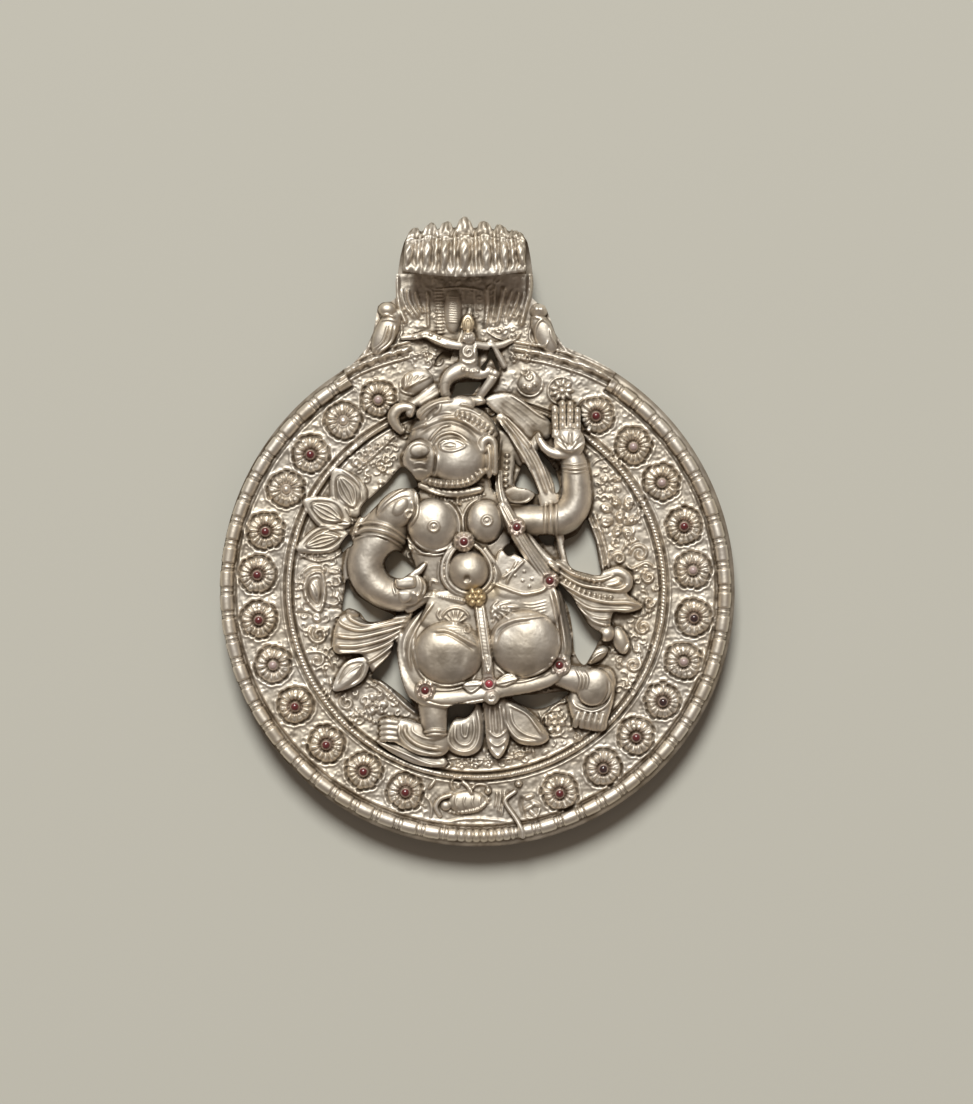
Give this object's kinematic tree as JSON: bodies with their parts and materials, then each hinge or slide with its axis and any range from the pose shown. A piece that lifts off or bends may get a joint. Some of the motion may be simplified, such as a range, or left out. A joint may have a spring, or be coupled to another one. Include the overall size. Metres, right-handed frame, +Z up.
{
  "type": "metal wall plaque",
  "caption": "Round pierced relief plaque of a boar-headed dancing figure in a border of jewelled rosettes, hung by a curled hood that serves as its hook.",
  "frame": {"origin": "middle of the flat crown inside the curled hood, where the plaque hangs", "axes": "+Z up the plaque, +X to the viewer's right, +Y out of the flat back, so that the carved face looks along -Y"},
  "size_m": [0.124, 0.0149, 0.1518],
  "materials": {
    "silver": "cast and chased silver, worn bright on the high places, warm grey and brown in the recesses",
    "garnet": "polished deep red cabochon"
  },
  "bodies": {
    "root": {"plaque": "silver", "stone_rosette_left_01": "garnet", "stone_rosette_left_03": "garnet", "stone_rosette_left_05": "garnet", "stone_rosette_left_06": "garnet", "stone_rosette_left_07": "garnet", "stone_rosette_left_08": "garnet", "stone_rosette_left_09": "garnet", "stone_rosette_left_10": "garnet", "stone_rosette_left_11": "garnet", "stone_rosette_left_12": "garnet", "stone_rosette_right_01": "garnet", "stone_rosette_right_02": "garnet", "stone_rosette_right_03": "garnet", "stone_rosette_right_04": "garnet", "stone_rosette_right_05": "garnet", "stone_rosette_right_06": "garnet", "stone_rosette_right_07": "garnet", "stone_rosette_right_08": "garnet", "stone_rosette_right_09": "garnet", "stone_rosette_right_10": "garnet", "stone_rosette_right_11": "garnet", "stone_brooch": "garnet", "stone_garland_upper": "garnet", "stone_garland_lower": "garnet", "stone_hem_left": "garnet", "stone_hem_middle": "garnet", "stone_hem_right": "garnet"}
  },
  "joints": []
}
